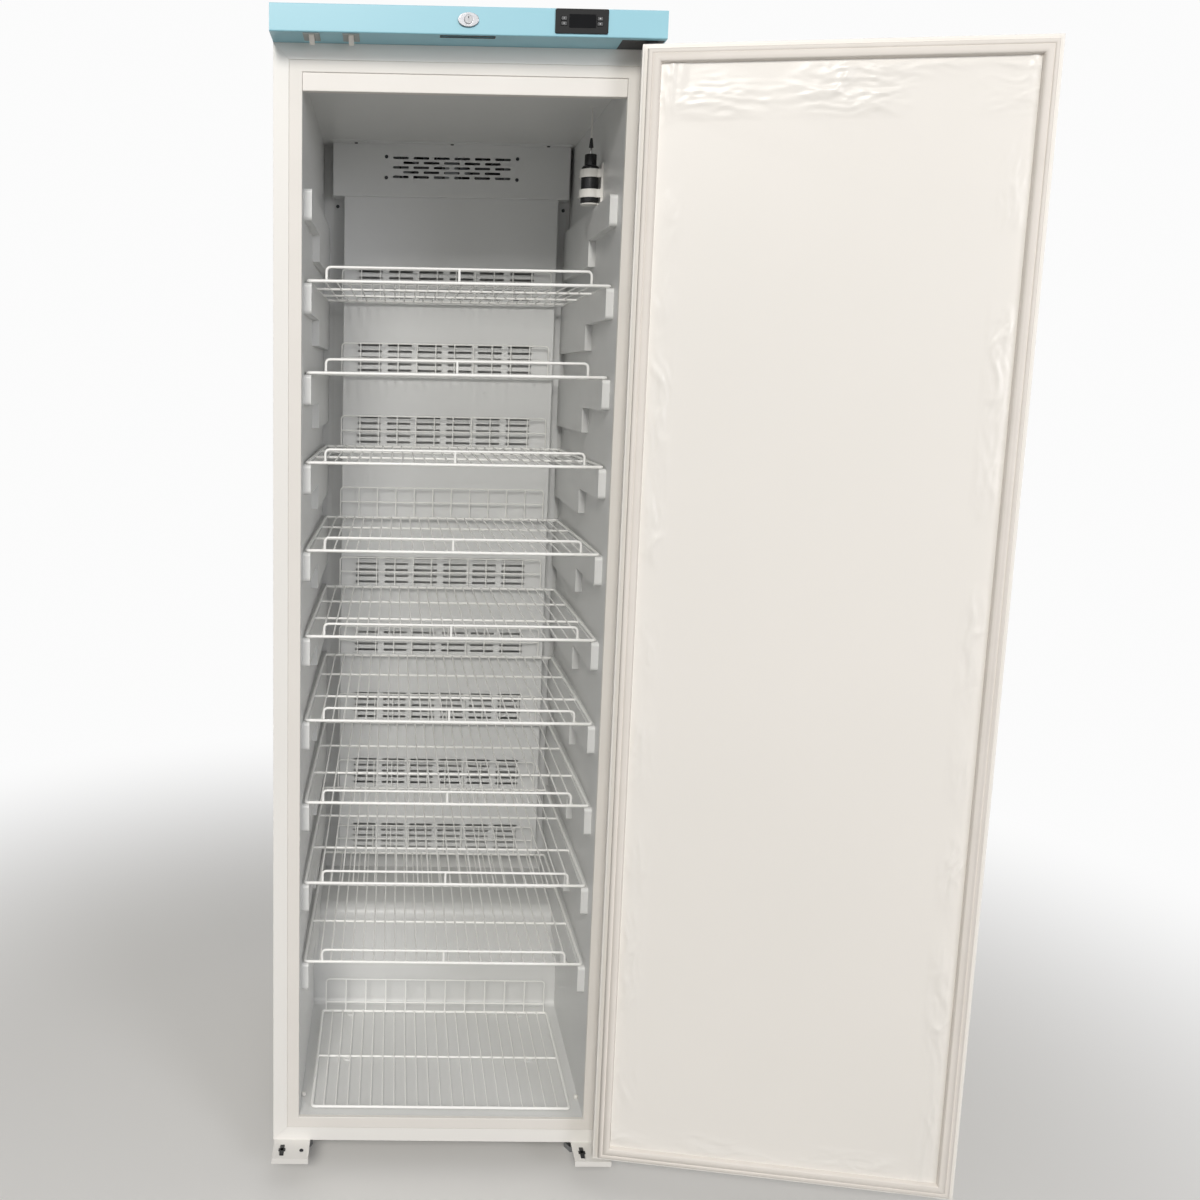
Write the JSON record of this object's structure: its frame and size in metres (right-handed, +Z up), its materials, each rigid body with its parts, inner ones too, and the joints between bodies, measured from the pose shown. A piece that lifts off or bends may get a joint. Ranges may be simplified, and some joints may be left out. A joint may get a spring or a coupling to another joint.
{
  "type": "medical refrigerator",
  "caption": "Upright medical refrigerator with its door open, wire shelves, slotted air duct, fan cover and a blue control header with key lock.",
  "frame": {"origin": "on the floor, below the middle of the cabinet front, in the plane of the front frame", "axes": "+X to the right across the cabinet, +Y into the cabinet, +Z up"},
  "size_m": [1.1568, 0.8018, 1.9662],
  "materials": {
    "black_plastic": "black moulded plastic",
    "bottle_plastic": "black plastic bottle",
    "bracket_steel": "dark coated steel",
    "breaker_plastic": "moulded white plastic",
    "bush_plastic": "grey nylon",
    "button_plastic": "soft-touch key",
    "casing_paint": "smooth white powder coat",
    "coated_wire": "white plastic-coated steel wire",
    "compressor_paint": "black enamelled shell",
    "controller_plastic": "black moulded bezel",
    "copper_pipe": "drawn copper tube",
    "display_glass": "dark tinted display window",
    "door_paint": "smooth white powder coat",
    "door_panel_plastic": "white sheet under a clear film",
    "fan_blade_plastic": "black moulded blades",
    "fin_aluminium": "bare fins",
    "foam": "rigid foamed-in-place insulation",
    "foot_steel": "zinc-plated steel",
    "galvanised_sheet": "galvanised steel sheet",
    "gasket_rubber": "soft pale magnetic gasket",
    "handle_plastic": "moulded grip",
    "header_paint": "light blue powder coat",
    "inner_sheet_paint": "grey-white painted sheet",
    "light_bar_plastic": "moulded white plastic",
    "liner_plastic": "vacuum-formed sheet with a soft gloss",
    "lock_chrome": "plated zinc",
    "lock_steel": "plated steel",
    "probe_steel": "sheathed steel probe",
    "switch_grey_plastic": "moulded grey plastic",
    "white_plastic": "moulded white plastic"
  },
  "bodies": {
    "cabinet": {"base_pan": "casing_paint", "bottle_holder": "white_plastic", "breaker_frame": "breaker_plastic", "compressor": "compressor_paint", "condenser": "fin_aluminium", "condenser_fan_frame": "galvanised_sheet", "controller_housing": "controller_plastic", "controller_lens": "display_glass", "drain_tray": "black_plastic", "duct_panel": "inner_sheet_paint", "evaporator_coil": "fin_aluminium", "evaporator_cover": "inner_sheet_paint", "evaporator_fan_frames": "black_plastic", "header_cover": "header_paint", "hinge_brackets": "bracket_steel", "insulation_foam": "foam", "light_bar": "light_bar_plastic", "liner_back": "liner_plastic", "liner_floor": "liner_plastic", "liner_walls": "liner_plastic", "lock_escutcheon": "lock_chrome", "mains_inlet": "black_plastic", "rear_casing": "galvanised_sheet", "rear_grille": "galvanised_sheet", "refrigerant_pipes": "copper_pipe", "sample_bottle": "bottle_plastic", "side_panels": "casing_paint", "switch_housings": "switch_grey_plastic", "temperature_probe": "probe_steel", "top_panel": "casing_paint"},
    "door": {"door_skin": "door_paint", "door_foam": "foam", "door_inner_panel": "door_panel_plastic", "door_gasket": "gasket_rubber", "door_handle": "handle_plastic", "hinge_bushes": "bush_plastic"},
    "lock_cylinder": {"lock_cam": "lock_steel"},
    "switch_paddle_left": {"switch_paddle_left": "white_plastic"},
    "switch_paddle_right": {"switch_paddle_right": "white_plastic"},
    "floor_grid": {"floor_grid": "coated_wire"},
    "fan_rotor_left": {"fan_rotor_left": "fan_blade_plastic"},
    "fan_rotor_right": {"fan_rotor_right": "fan_blade_plastic"},
    "condenser_fan_rotor": {"condenser_fan_rotor": "fan_blade_plastic"},
    "shelf_1": {"shelf_1": "coated_wire"},
    "shelf_2": {"shelf_2": "coated_wire"},
    "shelf_3": {"shelf_3": "coated_wire"},
    "shelf_4": {"shelf_4": "coated_wire"},
    "shelf_5": {"shelf_5": "coated_wire"},
    "shelf_6": {"shelf_6": "coated_wire"},
    "shelf_7": {"shelf_7": "coated_wire"},
    "shelf_8": {"shelf_8": "coated_wire"},
    "shelf_9": {"shelf_9": "coated_wire"},
    "button_1": {"button_1": "button_plastic"},
    "levelling_foot_1": {"levelling_foot_1": "foot_steel"},
    "button_2": {"button_2": "button_plastic"},
    "levelling_foot_2": {"levelling_foot_2": "foot_steel"},
    "button_3": {"button_3": "button_plastic"},
    "levelling_foot_3": {"levelling_foot_3": "foot_steel"},
    "button_4": {"button_4": "button_plastic"},
    "levelling_foot_4": {"levelling_foot_4": "foot_steel"}
  },
  "joints": [
    {"name": "door_hinge", "type": "hinge", "parent": "cabinet", "child": "door", "pos_m": [0.282, -0.035, 1], "axis": [0, 0, 1], "range_deg": [-170.8, 9.2]},
    {"name": "lock_turn", "type": "hinge", "parent": "cabinet", "child": "lock_cylinder", "pos_m": [-0.001, -0.05, 1.9465], "axis": [0, 1, 0], "range_deg": [0, 90]},
    {"name": "switch_press_left", "type": "hinge", "parent": "cabinet", "child": "switch_paddle_left", "pos_m": [-0.2375, -0.04305, 1.9268], "axis": [1, 0, 0], "range_deg": [-0.5, 6.2]},
    {"name": "switch_press_right", "type": "hinge", "parent": "cabinet", "child": "switch_paddle_right", "pos_m": [-0.1775, -0.04305, 1.9268], "axis": [1, 0, 0], "range_deg": [-0.5, 6.2]},
    {"name": "shelf_1_slide", "type": "slide", "parent": "cabinet", "child": "shelf_1", "axis": [0, -1, 0], "range_m": [0, 0.4]},
    {"name": "shelf_2_slide", "type": "slide", "parent": "cabinet", "child": "shelf_2", "axis": [0, -1, 0], "range_m": [0, 0.4]},
    {"name": "shelf_3_slide", "type": "slide", "parent": "cabinet", "child": "shelf_3", "axis": [0, -1, 0], "range_m": [0, 0.4]},
    {"name": "shelf_4_slide", "type": "slide", "parent": "cabinet", "child": "shelf_4", "axis": [0, -1, 0], "range_m": [0, 0.4]},
    {"name": "shelf_5_slide", "type": "slide", "parent": "cabinet", "child": "shelf_5", "axis": [0, -1, 0], "range_m": [0, 0.4]},
    {"name": "shelf_6_slide", "type": "slide", "parent": "cabinet", "child": "shelf_6", "axis": [0, -1, 0], "range_m": [0, 0.4]},
    {"name": "shelf_7_slide", "type": "slide", "parent": "cabinet", "child": "shelf_7", "axis": [0, -1, 0], "range_m": [0, 0.4]},
    {"name": "shelf_8_slide", "type": "slide", "parent": "cabinet", "child": "shelf_8", "axis": [0, -1, 0], "range_m": [0, 0.4]},
    {"name": "shelf_9_slide", "type": "slide", "parent": "cabinet", "child": "shelf_9", "axis": [0, -1, 0], "range_m": [0, 0.4]},
    {"name": "floor_grid_slide", "type": "slide", "parent": "cabinet", "child": "floor_grid", "axis": [0, -1, 0], "range_m": [0, 0.3]},
    {"name": "button_1_press", "type": "slide", "parent": "cabinet", "child": "button_1", "axis": [0, 1, 0], "range_m": [0, 0.0006], "stiffness_N_per_m": 800, "springref_m": -0.0003},
    {"name": "button_2_press", "type": "slide", "parent": "cabinet", "child": "button_2", "axis": [0, 1, 0], "range_m": [0, 0.0006], "stiffness_N_per_m": 800, "springref_m": -0.0003},
    {"name": "button_3_press", "type": "slide", "parent": "cabinet", "child": "button_3", "axis": [0, 1, 0], "range_m": [0, 0.0006], "stiffness_N_per_m": 800, "springref_m": -0.0003},
    {"name": "button_4_press", "type": "slide", "parent": "cabinet", "child": "button_4", "axis": [0, 1, 0], "range_m": [0, 0.0006], "stiffness_N_per_m": 800, "springref_m": -0.0003},
    {"name": "fan_spin_left", "type": "hinge", "parent": "cabinet", "child": "fan_rotor_left", "pos_m": [-0.05425, 0.54, 1.8318], "axis": [0, 1, 0], "continuous": true},
    {"name": "fan_spin_right", "type": "hinge", "parent": "cabinet", "child": "fan_rotor_right", "pos_m": [0.06575, 0.54, 1.8318], "axis": [0, 1, 0], "continuous": true},
    {"name": "condenser_fan_spin", "type": "hinge", "parent": "cabinet", "child": "condenser_fan_rotor", "pos_m": [0.15, 0.495, 0.1632], "axis": [0, 1, 0], "continuous": true},
    {"name": "foot_1_screw_out", "type": "slide", "parent": "cabinet", "child": "levelling_foot_1", "axis": [0, 0, -1], "range_m": [0, 0.012]},
    {"name": "foot_2_screw_out", "type": "slide", "parent": "cabinet", "child": "levelling_foot_2", "axis": [0, 0, -1], "range_m": [0, 0.012]},
    {"name": "foot_3_screw_out", "type": "slide", "parent": "cabinet", "child": "levelling_foot_3", "axis": [0, 0, -1], "range_m": [0, 0.012]},
    {"name": "foot_4_screw_out", "type": "slide", "parent": "cabinet", "child": "levelling_foot_4", "axis": [0, 0, -1], "range_m": [0, 0.012]}
  ],
  "couplings": [
    {"joint": "switch_press_left", "follows": "door_hinge", "ratio": -0.035129},
    {"joint": "switch_press_right", "follows": "door_hinge", "ratio": -0.035129}
  ]
}
